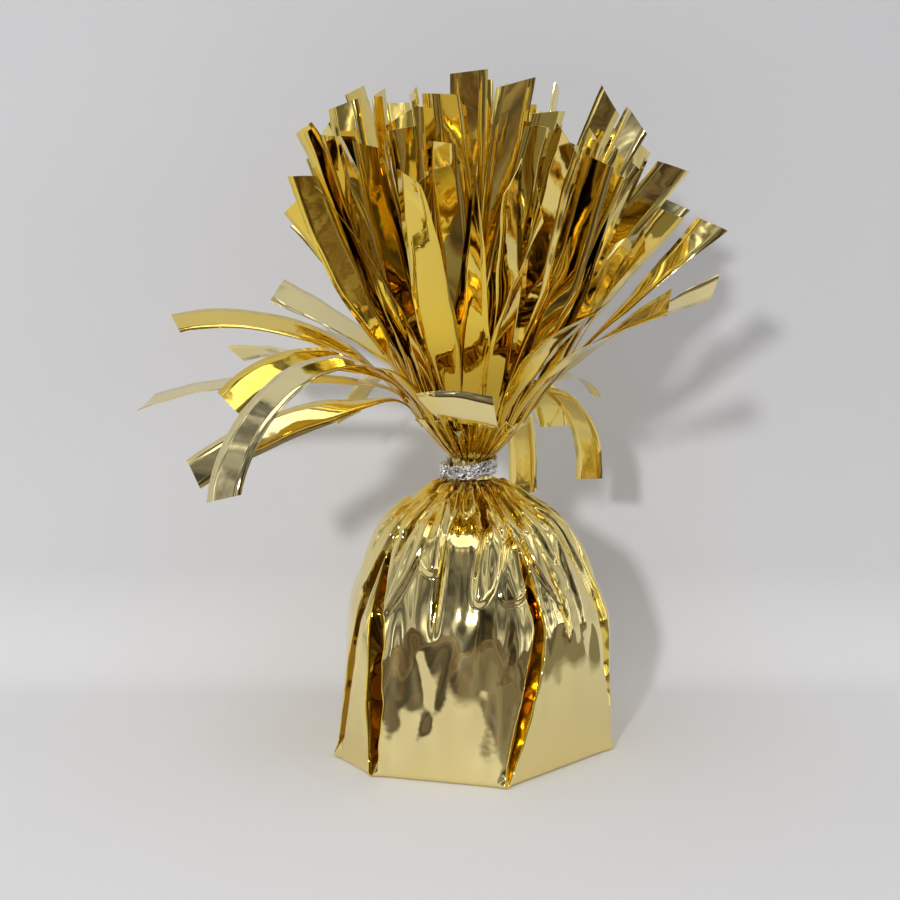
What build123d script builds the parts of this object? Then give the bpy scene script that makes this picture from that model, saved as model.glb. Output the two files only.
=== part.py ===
# Foil balloon weight: a heavy core in a cup, wrapped in gold film that is gathered and
# tied at the neck and cut into a fringe of strips above the tie.
import os
from math import ceil, cos, pi, radians, sin, sqrt

from build123d import *

os.makedirs("parts", exist_ok=True)

# Wrapper: reach of the foot's corners, height from the floor to the neck, thickness of the film
# (thicker than the real film, so that it is a sound solid).
FOOT_RADIUS = 31.0
BODY_HEIGHT = 57.5
FILM_WALL = 0.6
PLEAT_GAP = 2.8
PLEAT_DEPTH = 2.4

# Core: a cup that stands inside the wrapper, filled with the cast weight and closed by a lid.
CUP_CLEARANCE = 0.5
CUP_HEIGHT = 30.0
CUP_WALL = 0.7
LID_THICKNESS = 0.8

# Neck and throat: the bunched film under the tie and the funnel that opens above it.
NECK_RADIUS = 4.7
NECK_HEIGHT = 4.6
NECK_FLUTE = 1.3
THROAT_RADIUS = 13.4
THROAT_HEIGHT = 8.9

# Tie: a cord wound round the neck, its turns a clear gap apart, and its knot.
TIE_DIAMETER = 1.1
TIE_GAP = 0.45
TIE_CLEARANCE = 0.1
TIE_TURNS = 2
KNOT_WIDTH = 2.0
KNOT_AZIMUTH = 196.0

# Fringe strips: cut width, width where they are bunched, thickness (thicker than the real film),
# usual length above the throat, run over which they widen, run over which they first bend.
STRIP_WIDTH = 6.4
STRIP_ROOT_WIDTH = 1.9
STRIP_THICKNESS = 0.3
STRIP_LENGTH = 60.0
FLARE_LENGTH = 28.0
BEND_LENGTH = 17.0
ROOT_CLEARANCE = 0.3
# Lean in degrees of a strip's root at the very rim of the throat: roots fan out from the neck.
ROOT_LEAN = 36.0

# The wrapper's outline from the foot up: share of the height, share of the foot's reach, share of
# the pleats' gap and depth, how far the panels are rounded out (0 straight, 1 round) and how far
# the pleats have wandered from their corner.
WRAPPER_LEVELS = [
    (0.00, 1.000, 0.25, 0.25, 0.00, 0.00),
    (0.14, 0.981, 0.50, 0.60, 0.25, 0.25),
    (0.28, 0.958, 0.75, 0.90, 0.50, 0.50),
    (0.42, 0.926, 0.95, 1.00, 0.75, 0.75),
    (0.54, 0.884, 1.00, 0.95, 0.95, 1.00),
    (0.66, 0.813, 0.95, 0.85, 1.00, 1.00),
    (0.765, 0.726, 0.80, 0.75, 1.00, 1.00),
    (0.85, 0.623, 0.65, 0.60, 1.00, 1.00),
    (0.92, 0.455, 0.45, 0.40, 1.00, 1.00),
    (0.97, 0.270, 0.25, 0.20, 1.00, 1.00),
    (1.00, 0.170, 0.12, 0.08, 1.00, 1.00),
]
# Corner azimuth of each pleat at the foot and at the shoulder, in degrees, in order round the foot.
PLEATS = [(44, 40), (95, 92), (143, 150), (192, 203), (227, 229), (281, 299), (348, 351)]

# Throat outline: share of the throat's height, share of the way from neck to rim, share of the flutes.
THROAT_LEVELS = [(0.34, 0.26, 0.35), (0.67, 0.64, 0.75), (1.00, 1.00, 1.00)]
THROAT_FLUTES = 14

# Crown: how many strips stand on the throat, share of its radius that they cover, lean in degrees of
# the outermost, share of the usual length at the middle and how much of it the outermost lack. Each
# strip stands a golden turn on from the one before. They are kept in rings of equal number.
CROWN_STRIPS = 80
CROWN_RINGS = 8
CROWN_SHARE = 0.83
CROWN_LEAN = 31.0
CROWN_LENGTH = 1.14
CROWN_LOSS = 0.22
GOLDEN_TURN = 137.508
# Unevenness of the crown: lean, sway and twist at the tip in degrees, length as a share. The middle
# strips, which stand closest, are the most even.
LEAN_PLAY = 3.0
SWAY = 8.0
TWIST_PLAY = 70.0
LENGTH_PLAY = 0.06
EVEN_SHARE = 0.85

# Outlying strips round the rim: name, azimuth, lean after the first bend, lean at the tip, twist at
# the tip and veer to one side after the first bend, all in degrees, share of the usual length, share
# of the usual first bend, and whether the strip swings at its root.
OUTER_SHARE = 0.925
OUTER_STRIPS = [
    ("outer_strip_right", 3, 34, 38, 60, 0, 0.86, 1.00, False),
    ("outer_strip_right_pale", 18, 58, 70, 56, 0, 0.88, 0.80, True),
    ("outer_strip_right_curl", 32, 72, 150, -20, 0, 0.42, 0.70, False),
    ("outer_strip_right_arch", 47, 86, 186, 8, 0, 0.74, 0.50, True),
    ("outer_strip_back_spike", 61, 82, 155, 50, 0, 0.62, 0.60, False),
    ("outer_strip_back_hanging", 74, 82, 186, -8, 0, 0.96, 0.50, True),
    ("outer_strip_back_a", 90, 42, 50, 15, 0, 0.85, 1.00, False),
    ("outer_strip_back_b", 105, 70, 100, -20, 0, 0.95, 0.80, False),
    ("outer_strip_left_tab", 120, 74, 150, 12, 8, 0.80, 0.70, True),
    ("outer_strip_left_upper", 135, 62, 73, 46, 6, 0.94, 0.80, True),
    ("outer_strip_left_pale", 150, 72, 98, -34, 0, 0.90, 0.70, True),
    ("outer_strip_left_far", 165, 82, 108, 8, 0, 1.10, 0.60, True),
    ("outer_strip_left_level", 180, 57, 102, 34, 0, 0.94, 1.00, True),
    ("outer_strip_left_dark", 195, 96, 124, 58, 0, 0.83, 0.45, True),
    ("outer_strip_left_arch", 210, 62, 134, 24, 0, 0.80, 0.80, True),
    ("outer_strip_left_hanging", 226, 66, 168, 14, 0, 1.13, 0.90, True),
    ("outer_strip_front_tab", 241, 84, 100, 80, 100, 0.45, 0.45, True),
    ("outer_strip_front_left", 255, 36, 35, 68, 0, 0.94, 1.00, False),
    ("outer_strip_front_mid", 270, 35, 34, 62, 0, 0.98, 1.00, False),
    ("outer_strip_front_low", 284, 38, 44, -72, 0, 0.90, 1.00, False),
    ("outer_strip_front_right", 299, 52, 72, -30, 0, 0.71, 0.80, False),
    ("outer_strip_right_white", 316, 56, 70, -50, 0, 0.75, 0.80, True),
    ("outer_strip_right_amber", 331, 34, 40, -45, 0, 0.74, 1.00, False),
    ("outer_strip_right_long", 347, 44, 47, -62, 0, 0.90, 1.00, True),
]

throat_top = BODY_HEIGHT + NECK_HEIGHT + THROAT_HEIGHT


def polar(radius, azimuth, height):
    return (radius * cos(azimuth), radius * sin(azimuth), height)


# Wrapper. One sheet of gold film drawn up round the core: a flat foot with seven corners, a fold
# standing inward at each corner, straight sides that round out to a dome under the neck.
def wrapper_outline(level, inset):
    height_share, reach_share, gap_share, depth_share, round_share, wander = level
    reach = FOOT_RADIUS * reach_share - inset
    gap = PLEAT_GAP * gap_share
    depth = PLEAT_DEPTH * depth_share
    height = BODY_HEIGHT * height_share
    turns = [radians(foot + (shoulder - foot) * wander) for foot, shoulder in PLEATS]
    points = []
    for index, turn in enumerate(turns):
        following = turns[(index + 1) % len(turns)]
        if following < turn:
            following = following + 2 * pi
        half = (following - turn) / 2
        lip = gap / 2 / (reach + inset)
        points.append(polar(reach, turn - lip, height))
        points.append(polar(reach - depth, turn, height))
        points.append(polar(reach, turn + lip, height))
        for share in (1 / 3, 2 / 3):
            off = half * (2 * share - 1)
            straight = cos(half) / cos(off)
            points.append(polar(reach * (straight + (1 - straight) * round_share), turn + half + off, height))
    return points


def wrapper_solid(levels, inset, lowest, highest):
    with BuildPart() as form:
        for place, level in enumerate(levels):
            points = wrapper_outline(level, inset)
            if place == 0:
                points = [(x, y, lowest) for x, y, z in points]
            if place == len(levels) - 1:
                points = [(x, y, highest) for x, y, z in points]
            with BuildSketch(Plane.XY.offset(points[0][2])):
                with BuildLine():
                    Polyline(*[(x, y) for x, y, z in points], close=True)
                make_face()
        loft(ruled=True)
    return form.part


with BuildPart() as foil_wrapper:
    add(wrapper_solid(WRAPPER_LEVELS, 0, 0, BODY_HEIGHT))
    add(
        wrapper_solid(WRAPPER_LEVELS, FILM_WALL, FILM_WALL, BODY_HEIGHT + FILM_WALL),
        mode=Mode.SUBTRACT,
    )
foil_wrapper.part.label = "foil_wrapper"
export_step(foil_wrapper.part, "parts/foil_wrapper.step")

# Core. A thin moulded cup stands on the wrapper's foot, as wide as the foot's straight sides and the
# pleats leave room for.
spans = [PLEATS[(i + 1) % len(PLEATS)][0] - PLEATS[i][0] for i in range(len(PLEATS))]
widest = radians(max(span % 360 for span in spans))
side_room = FOOT_RADIUS * cos(widest / 2)
pleat_room = min(
    FOOT_RADIUS * level[1] - PLEAT_DEPTH * level[3]
    for level in WRAPPER_LEVELS
    if BODY_HEIGHT * level[0] <= FILM_WALL + CUP_HEIGHT + LID_THICKNESS
)
cup_radius = min(side_room, pleat_room) - FILM_WALL - CUP_CLEARANCE
cup_top = FILM_WALL + CUP_HEIGHT

with BuildPart() as cup:
    with BuildSketch(Plane.XY.offset(FILM_WALL)):
        Circle(cup_radius)
    extrude(amount=CUP_HEIGHT)
    with BuildSketch(Plane.XY.offset(FILM_WALL + CUP_WALL)):
        Circle(cup_radius - CUP_WALL)
    extrude(amount=CUP_HEIGHT - CUP_WALL, mode=Mode.SUBTRACT)
cup.part.label = "cup"
export_step(cup.part, "parts/cup.step")

# The weight is cast in the cup and fills it to the brim.
with BuildPart() as weight_block:
    with BuildSketch(Plane.XY.offset(FILM_WALL + CUP_WALL)):
        Circle(cup_radius - CUP_WALL)
    extrude(amount=CUP_HEIGHT - CUP_WALL)
weight_block.part.label = "weight_block"
export_step(weight_block.part, "parts/weight_block.step")

# A flat lid lies on the brim.
with BuildPart() as cup_lid:
    with BuildSketch(Plane.XY.offset(cup_top)):
        Circle(cup_radius)
    extrude(amount=LID_THICKNESS)
cup_lid.part.label = "cup_lid"
export_step(cup_lid.part, "parts/cup_lid.step")


# Neck and throat. The film bunched solid under the tie, then opening like a fluted funnel whose top
# carries the strips.
def fluted_face(radius, flute, height):
    with BuildSketch(Plane.XY.offset(height)) as face:
        with BuildLine():
            rim = []
            for place in range(2 * THROAT_FLUTES):
                turn = pi * place / THROAT_FLUTES
                reach = radius - flute * (place % 2)
                rim.append((reach * cos(turn), reach * sin(turn)))
            Polyline(*rim, close=True)
        make_face()
    return face.sketch


neck_top = BODY_HEIGHT + NECK_HEIGHT
throat_faces = [fluted_face(NECK_RADIUS, 0, BODY_HEIGHT), fluted_face(NECK_RADIUS, 0, neck_top)]
for height_share, reach_share, flute_share in THROAT_LEVELS:
    throat_faces.append(
        fluted_face(
            NECK_RADIUS + (THROAT_RADIUS - NECK_RADIUS) * reach_share,
            NECK_FLUTE * flute_share,
            neck_top + THROAT_HEIGHT * height_share,
        )
    )
with BuildPart() as neck_gather:
    loft(throat_faces, ruled=True)
neck_gather.part.label = "neck_gather"
export_step(neck_gather.part, "parts/neck_gather.step")

# Tie. Silver cord wound round the neck; both ends run straight into the knot.
tie_radius = NECK_RADIUS + TIE_CLEARANCE + TIE_DIAMETER / 2
tie_pitch = TIE_DIAMETER + TIE_GAP
tie_rise = tie_pitch * TIE_TURNS
tie_start = BODY_HEIGHT + (NECK_HEIGHT - tie_rise) / 2
knot_turn = radians(KNOT_AZIMUTH)
end_angle = (KNOT_WIDTH / 2 + TIE_DIAMETER) / tie_radius
wound_angle = 2 * pi * TIE_TURNS - 2 * end_angle
quarters = ceil(wound_angle / (pi / 2))


def tie_point(share):
    turn = knot_turn + end_angle + wound_angle * share
    return Vector(*polar(tie_radius, turn, tie_start + tie_rise * share))


def tie_heading(share):
    turn = knot_turn + end_angle + wound_angle * share
    slope = tie_rise / wound_angle / tie_radius
    if share in (0, 1):
        slope = 0
    return Vector(-sin(turn), cos(turn), slope).normalized()


def biarc_joint(start, finish, leaving, arriving):
    across = finish - start
    both = leaving + arriving
    spare = 2 * (1 - leaving.dot(arriving))
    reach = (sqrt(across.dot(both) ** 2 + spare * across.dot(across)) - across.dot(both)) / spare
    near = start + leaving * reach
    far = finish - arriving * reach
    return (near + far) / 2, (far - near).normalized()


with BuildPart() as neck_tie:
    with BuildLine() as tie_route:
        first = tie_point(0)
        Line(first - tie_heading(0) * TIE_DIAMETER, first)
        for quarter in range(quarters):
            start = tie_point(quarter / quarters)
            finish = tie_point((quarter + 1) / quarters)
            leaving = tie_heading(quarter / quarters)
            arriving = tie_heading((quarter + 1) / quarters)
            joint, heading = biarc_joint(start, finish, leaving, arriving)
            TangentArc(start, joint, tangent=leaving)
            TangentArc(joint, finish, tangent=heading)
        last = tie_point(1)
        Line(last, last + tie_heading(1) * TIE_DIAMETER)
    with BuildSketch(Plane(origin=tie_route.line @ 0, z_dir=tie_route.line % 0)):
        Circle(TIE_DIAMETER / 2)
    sweep()
neck_tie.part.label = "neck_tie"
export_step(neck_tie.part, "parts/neck_tie.step")
print("neck_tie gap", round(TIE_GAP, 3))

# The knot: a hard nugget of the same cord between the two ends, over the middle turn.
knot_depth = 2 * TIE_DIAMETER
knot_height = tie_rise + 2 * TIE_DIAMETER
start_face = first - tie_heading(0) * TIE_DIAMETER
finish_face = last + tie_heading(1) * TIE_DIAMETER
start_out = Vector(cos(knot_turn + end_angle), sin(knot_turn + end_angle), 0)
finish_out = Vector(cos(knot_turn - end_angle), sin(knot_turn - end_angle), 0)
knot_corners = [
    start_face - start_out * TIE_DIAMETER / 2,
    start_face + start_out * (knot_depth - TIE_DIAMETER / 2),
    finish_face + finish_out * (knot_depth - TIE_DIAMETER / 2),
    finish_face - finish_out * TIE_DIAMETER / 2,
]
with BuildPart() as tie_knot:
    with BuildSketch(Plane.XY.offset(tie_start + tie_rise / 2 - knot_height / 2)):
        with BuildLine():
            Polyline(*[(corner.X, corner.Y) for corner in knot_corners], close=True)
        make_face()
    extrude(amount=knot_height)
    with BuildSketch(Plane.XY.offset(tie_start + tie_rise / 2 - TIE_DIAMETER / 2 - TIE_CLEARANCE)):
        Circle(tie_radius + TIE_DIAMETER / 2 + TIE_CLEARANCE)
    extrude(amount=TIE_DIAMETER + 2 * TIE_CLEARANCE, mode=Mode.SUBTRACT)
tie_knot.part.label = "tie_knot"
export_step(tie_knot.part, "parts/tie_knot.step")


# Fringe. Every strip stands on the throat's top, bunched narrow and fanning out from the neck. It
# widens to its cut width, bends to its lean and goes on in one easy curve to a square-cut tip,
# twisting a little on the way.
def strip_solid(azimuth, root_radius, root_height, lean_bent, lean_tip, twist_tip, veer, length, bend):
    turn = radians(azimuth)
    upward = Vector(0, 0, 1)
    steps = 9
    run = length / steps
    lean_root = ROOT_LEAN * root_radius / THROAT_RADIUS
    lift = STRIP_THICKNESS / 2 * sin(radians(lean_root))
    place = Vector(*polar(root_radius, turn, root_height + lift))
    with BuildPart() as strip:
        for step in range(steps + 1):
            along = run * step
            bent = min(along / bend, 1)
            rest = max(along - bend, 0) / (length - bend)
            lean = radians(lean_root + (lean_bent - lean_root) * bent + (lean_tip - lean_bent) * rest)
            veered = turn + radians(veer) * min(max(along / bend - 1, 0), 1)
            twist = radians(twist_tip) * (along / length) ** 2
            outward = Vector(cos(veered), sin(veered), 0)
            sideways = Vector(-sin(veered), cos(veered), 0)
            heading = outward * sin(lean) + upward * cos(lean)
            if step > 0:
                place = place + (heading_before + heading).normalized() * run
            heading_before = heading
            facing = sideways.cross(heading)
            across = sideways * cos(twist) + facing * sin(twist)
            widened = min(along / FLARE_LENGTH, 1)
            width = STRIP_ROOT_WIDTH + (STRIP_WIDTH - STRIP_ROOT_WIDTH) * widened
            with BuildSketch(Plane(origin=place, x_dir=across, z_dir=heading)):
                Rectangle(width, STRIP_THICKNESS)
        loft(ruled=True)
    return strip.part


# Crown. The bunched strips from the upright middle to the leaning rim, uneven as loose film is.
in_ring = CROWN_STRIPS // CROWN_RINGS
for ring in range(CROWN_RINGS):
    strips = []
    for number in range(ring * in_ring, (ring + 1) * in_ring):
        share = sqrt((number + 1.5) / (CROWN_STRIPS + 1.5))
        azimuth = GOLDEN_TURN * number
        turn = radians(azimuth)
        play = min(share / EVEN_SHARE, 1)
        lean = CROWN_LEAN * share + LEAN_PLAY * play * sin(3 * turn)
        sway = SWAY * play * sin(5 * turn + 1)
        twist = TWIST_PLAY * play * sin(6 * number + 2)
        length = STRIP_LENGTH * (CROWN_LENGTH - CROWN_LOSS * share ** 2 + LENGTH_PLAY * sin(3 * number + 1))
        strips.append(
            strip_solid(
                azimuth,
                THROAT_RADIUS * CROWN_SHARE * share,
                throat_top,
                lean,
                lean + sway,
                twist,
                0,
                length,
                BEND_LENGTH,
            )
        )
    name = "crown_ring_" + str(ring + 1)
    crown_ring = Compound(label=name, children=strips)
    export_step(crown_ring, "parts/" + name + ".step")

# Outlying strips: the ones that have sprung away from the crown, each bending at its own root.
for name, azimuth, lean_bent, lean_tip, twist_tip, veer, length_share, bend_share, swings in OUTER_STRIPS:
    clear = ROOT_CLEARANCE if swings else 0
    outer_strip = strip_solid(
        azimuth,
        THROAT_RADIUS * OUTER_SHARE,
        throat_top + clear,
        lean_bent,
        lean_tip,
        twist_tip,
        veer,
        STRIP_LENGTH * length_share,
        BEND_LENGTH * bend_share,
    )
    outer_strip.label = name
    export_step(outer_strip, "parts/" + name + ".step")
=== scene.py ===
from math import cos, pi, radians, sin, sqrt

import bpy
import numpy as np
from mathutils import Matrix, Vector


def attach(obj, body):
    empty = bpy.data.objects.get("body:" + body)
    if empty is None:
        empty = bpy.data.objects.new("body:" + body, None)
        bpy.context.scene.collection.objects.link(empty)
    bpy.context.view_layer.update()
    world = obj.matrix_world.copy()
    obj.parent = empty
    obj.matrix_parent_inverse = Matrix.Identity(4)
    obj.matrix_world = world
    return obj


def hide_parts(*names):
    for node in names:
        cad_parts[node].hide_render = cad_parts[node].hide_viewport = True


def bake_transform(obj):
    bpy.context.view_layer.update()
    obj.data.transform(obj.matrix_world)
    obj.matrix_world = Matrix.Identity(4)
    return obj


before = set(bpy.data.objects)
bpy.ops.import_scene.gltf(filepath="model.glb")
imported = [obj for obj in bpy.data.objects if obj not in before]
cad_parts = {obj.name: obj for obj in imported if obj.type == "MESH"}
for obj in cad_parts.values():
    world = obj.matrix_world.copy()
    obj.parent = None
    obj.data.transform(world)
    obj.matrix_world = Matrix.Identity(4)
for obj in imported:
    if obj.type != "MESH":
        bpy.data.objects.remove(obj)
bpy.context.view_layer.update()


# Core: a thin white moulded cup with a flat lid, filled with cast plaster. It is sealed inside the
# wrapper and never seen in use, so the solids stay as they are and only get their finish.
def finish_nodes(name):
    material = bpy.data.materials.new(name)
    material.use_nodes = True
    tree = material.node_tree
    shader = tree.nodes["Principled BSDF"]
    place = tree.nodes.new("ShaderNodeTexCoord")
    return material, tree, shader, place


def noise_at(tree, place, scale, detail):
    noise = tree.nodes.new("ShaderNodeTexNoise")
    noise.inputs["Scale"].default_value = scale
    noise.inputs["Detail"].default_value = detail
    tree.links.new(place.outputs["Object"], noise.inputs["Vector"])
    return noise


def ramp_on(tree, source, stops):
    ramp = tree.nodes.new("ShaderNodeValToRGB")
    ramp.color_ramp.elements[0].position, ramp.color_ramp.elements[0].color = stops[0]
    ramp.color_ramp.elements[1].position, ramp.color_ramp.elements[1].color = stops[-1]
    for position, colour in stops[1:-1]:
        ramp.color_ramp.elements.new(position).color = colour
    tree.links.new(source, ramp.inputs["Fac"])
    return ramp


def bump_from(tree, shader, height, strength, distance):
    bump = tree.nodes.new("ShaderNodeBump")
    bump.inputs["Strength"].default_value = strength
    bump.inputs["Distance"].default_value = distance
    tree.links.new(height, bump.inputs["Height"])
    tree.links.new(bump.outputs["Normal"], shader.inputs["Normal"])
    return bump


plaster, tree, shader, place = finish_nodes("cast_plaster")
grain = noise_at(tree, place, 700.0, 6.0)
tone = ramp_on(tree, grain.outputs["Fac"], [(0.3, (0.66, 0.64, 0.60, 1)), (0.7, (0.80, 0.79, 0.76, 1))])
tree.links.new(tone.outputs["Color"], shader.inputs["Base Color"])
shader.inputs["Roughness"].default_value = 0.9
bump_from(tree, shader, grain.outputs["Fac"], 0.3, 0.0004)

cup_white, tree, shader, place = finish_nodes("cup_white")
grain = noise_at(tree, place, 260.0, 3.0)
tone = ramp_on(tree, grain.outputs["Fac"], [(0.3, (0.80, 0.80, 0.79, 1)), (0.7, (0.88, 0.88, 0.87, 1))])
tree.links.new(tone.outputs["Color"], shader.inputs["Base Color"])
shader.inputs["Roughness"].default_value = 0.42
bump_from(tree, shader, grain.outputs["Fac"], 0.08, 0.0003)

for node, finish in (("weight_block", plaster), ("cup", cup_white), ("cup_lid", cup_white)):
    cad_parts[node].data.materials.clear()
    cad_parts[node].data.materials.append(finish)

# Wrapper: one sheet of thin plastic film with a mirror-bright gold coat, drawn up round the core.
# Flat sides meet at seven corners of the foot, the spare film is folded inward in a pleat at each
# corner, and under the neck it is gathered into tongues that spread and fade down the dome.
mm = 0.001

# Film: a gold coat, painted deeper amber, and dark brown in the deepest folds, where the film faces
# itself: painted shade and painted reflection. Each piece keeps how much in an attribute, which also
# sets how creased the film is.
gold_film, tree, shader, place = finish_nodes("gold_film")
painted_shade = tree.nodes.new("ShaderNodeAttribute")
painted_shade.attribute_name = "painted_shade"
# Pale gold with no painted shade, deeper amber with more, dark brown at the most.
tone = ramp_on(
    tree, painted_shade.outputs["Fac"],
    [
        (0.0, (0.90, 0.78, 0.41, 1)), (0.4, (0.91, 0.72, 0.22, 1)), (0.8, (0.95, 0.67, 0.08, 1)),
        (1.0, (0.34, 0.17, 0.015, 1)),
    ],
)
tree.links.new(tone.outputs["Color"], shader.inputs["Base Color"])
shader.inputs["Metallic"].default_value = 1.0
haze = noise_at(tree, place, 420.0, 4.0)
dull = tree.nodes.new("ShaderNodeMapRange")
dull.inputs["To Min"].default_value = 0.03
dull.inputs["To Max"].default_value = 0.10
tree.links.new(haze.outputs["Fac"], dull.inputs["Value"])
tree.links.new(dull.outputs["Result"], shader.inputs["Roughness"])
ripple = noise_at(tree, place, 240.0, 2.0)
bump = bump_from(tree, shader, ripple.outputs["Fac"], 0.06, 0.0004)
# The same painted shade amount sets how strongly the film is creased.
creased = tree.nodes.new("ShaderNodeMapRange")
creased.inputs["To Min"].default_value = 0.05
creased.inputs["To Max"].default_value = 0.20
tree.links.new(painted_shade.outputs["Fac"], creased.inputs["Value"])
tree.links.new(creased.outputs["Result"], bump.inputs["Strength"])

# Height and radius of the bell, foot to neck, in millimetres, as the sheet was drawn up.
bell = [
    (0.0, 31.0), (8.0, 30.4), (16.1, 29.7), (24.2, 28.7), (31.0, 27.4), (38.0, 25.2),
    (44.0, 22.5), (48.9, 19.3), (52.9, 14.1), (55.8, 8.5), (57.5, 5.2),
]
# Each corner pleat: azimuth at the foot, the shoulder and the top in degrees, half width and depth of
# its slit, the heights between which it gapes, in millimetres, and how deep the painted shade in its
# slit is.
corner_pleats = [
    (44, 40, 36, 1.3, 3.4, 0, 44, 0.8), (95, 92, 90, 1.2, 3.2, 6, 41, 0.8),
    (143, 150, 154, 1.4, 3.6, 0, 43, 0.8), (202, 206, 209, 2.0, 4.2, 0, 45, 2.4),
    (229, 221, 214, 2.2, 4.8, 0, 46, 1.5), (282, 297, 293, 1.5, 4.2, 0, 45, 0.75),
    (346, 342, 346, 2.6, 4.2, 9, 46, 0.8),
]
cup_reach, cup_brim = 24.4, 33.0
bell_lean, neck_height = 1.2, 57.5


def easy_line(points, count):
    knots = np.array(points, float)
    ends = np.vstack([2 * knots[0] - knots[1], knots, 2 * knots[-1] - knots[-2]])
    spans = np.linspace(0, len(knots) - 1, 40 * len(knots))
    at = np.minimum(spans.astype(int), len(knots) - 2)
    t = (spans - at)[:, None]
    a, b, c, d = ends[at], ends[at + 1], ends[at + 2], ends[at + 3]
    square, cube = 2 * a - 5 * b + 4 * c - d, 3 * b - a - 3 * c + d
    line = 0.5 * (2 * b + (c - a) * t + square * t**2 + cube * t**3)
    run = np.concatenate([[0], np.cumsum(np.linalg.norm(np.diff(line, axis=0), axis=1))])
    even = np.linspace(0, run[-1], count)
    return np.stack([np.interp(even, run, line[:, k]) for k in range(line.shape[1])], axis=1), even


def smooth_step(low, high, value):
    share = np.clip((value - low) / (high - low), 0, 1)
    return share * share * (3 - 2 * share)


def ring_mesh(name, rings, painted_shades, closed_low, closed_high):
    rows, columns = rings.shape[:2]
    points = [tuple(p) for p in rings.reshape(-1, 3)]
    faces = []
    for row in range(rows - 1):
        for column in range(columns):
            beside = (column + 1) % columns
            low, high = row * columns, (row + 1) * columns
            faces.append((low + column, low + beside, high + beside, high + column))
    points.append(closed_low)
    middle = len(points) - 1
    faces += [(middle, (column + 1) % columns, column) for column in range(columns)]
    points.append(closed_high)
    middle = len(points) - 1
    last = (rows - 1) * columns
    faces += [(middle, last + column, last + (column + 1) % columns) for column in range(columns)]
    mesh = bpy.data.meshes.new(name)
    mesh.from_pydata(points, [], faces)
    mesh.polygons.foreach_set("use_smooth", [True] * len(mesh.polygons))
    shades = np.append(painted_shades.ravel(), [painted_shades[0].mean(), painted_shades[-1].mean()])
    mesh.attributes.new("painted_shade", "FLOAT", "POINT").data.foreach_set("value", shades)
    mesh.update()
    piece = bpy.data.objects.new(name, mesh)
    bpy.context.scene.collection.objects.link(piece)
    return piece


bell_rows, panel_columns, beside_pleats = 172, [44, 44, 44, 120, 132, 132, 44], 0.105
profile, run = easy_line(bell, bell_rows)
height, reach = profile[:, 0], profile[:, 1]
from_neck = run[-1] - run
slope = np.gradient(profile, run, axis=0)
out_radial, out_up = slope[:, :1], -slope[:, 1:]
high_up = height[:, None]
down_film = from_neck[:, None]

# Panels: those in front are cut finer, and every panel is finest beside its pleats. Each is flat at the
# foot and rounds off up the dome.
corners = len(corner_pleats)
panel = np.repeat(np.arange(corners), panel_columns)
panel_share = np.concatenate([np.arange(columns) / columns for columns in panel_columns])
spread = panel_share - beside_pleats * np.sin(2 * pi * panel_share)
pleat_table = np.array(corner_pleats, float)
pleats = np.radians([np.interp(height, [0, 31, 44], azimuths) for azimuths in pleat_table[:, :3]]).T
rounding = np.interp(high_up, [0, 24, 39, 46], [0.0, 0.64, 0.98, 1.0])
for course in (pleats, rounding):
    for easing in range(60):
        course[1:-1] = 0.5 * course[1:-1] + 0.25 * (course[2:] + course[:-2])
following = np.concatenate([pleats[:, 1:], pleats[:, :1] + 2 * pi], axis=1)
half = (following - pleats)[:, panel] / 2
middle = pleats[:, panel] + half
turn = pleats[:, panel] + 2 * half * spread
straight = np.cos(half) / np.cos(turn - middle)
radius = reach[:, None] * (straight + (1 - straight) * rounding)
leaned = bell_lean * np.sin(pi * np.clip(high_up / neck_height, 0, 1))
to_cup = cup_reach - leaned * np.cos(turn)
first_half = panel_share < 0.5
beside = np.where(first_half, turn - middle + half, turn - middle - half) * radius
nearest = (panel + np.where(first_half, 0, 1)) % corners
rng = np.random.default_rng(11)


def away_from(azimuth):
    return ((turn - azimuth + pi) % (2 * pi) - pi) * radius


# Pleats: a sharp slit that opens up the side and closes again under the dome, with uneven lips, one of
# them standing a little over the other.
half_slit, deepest, gapes, closes, slit_painted_shade = (pleat_table[nearest, column] for column in range(3, 8))
rise_share = np.clip((high_up - gapes) / (closes - gapes), 0, 1)
opening = np.interp(
    rise_share, [0, 0.08, 0.28, 0.55, 0.80, 0.93, 1.0], [0.14, 0.55, 0.90, 1.0, 0.80, 0.45, 0.10]
)
ragged = 1 + 0.09 * np.sin(high_up / 2.3 + 2.0 * nearest)
ragged = ragged + 0.05 * np.sin(high_up / 0.9 + nearest) * (beside > 0)
slit = half_slit * opening * ragged + 0.02
depth = deepest * np.interp(
    rise_share, [0, 0.10, 0.3, 0.6, 0.85, 1.0], [0.12, 0.70, 1.0, 1.0, 0.62, 0.0]
)
depth = np.minimum(depth, np.where(high_up < cup_brim, reach[:, None] - to_cup, deepest))
into = np.abs(beside) / slit
shift = -depth * np.clip(1 - into**1.3, 0, 1)
lip = np.clip(np.abs(beside) - slit, 0, None)
shift -= 0.05 * depth * np.exp(-lip / 0.3) * (into >= 1)
shift += 0.04 * depth * np.exp(-(((lip - 2.2) / 1.3) ** 2))
shift += 0.07 * depth * np.exp(-lip / 1.1) * (beside > 0) * (into >= 1)

# Ears: the doubled film at each corner of the foot stands out in a small peak.
ear_out, ear_tall, ear_wide = 0.8, 2.0, 1.1
shift += ear_out * np.exp(-((high_up / ear_tall) ** 2)) * np.exp(-((beside / ear_wide) ** 2))


# Tongues: flattened gathers that start in a point near the neck, widen and end round on the dome, each
# lying a little over the last, with a dished face and a thin rolled rim.
rim_height, rim_half_width = 0.34, 0.30


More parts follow.
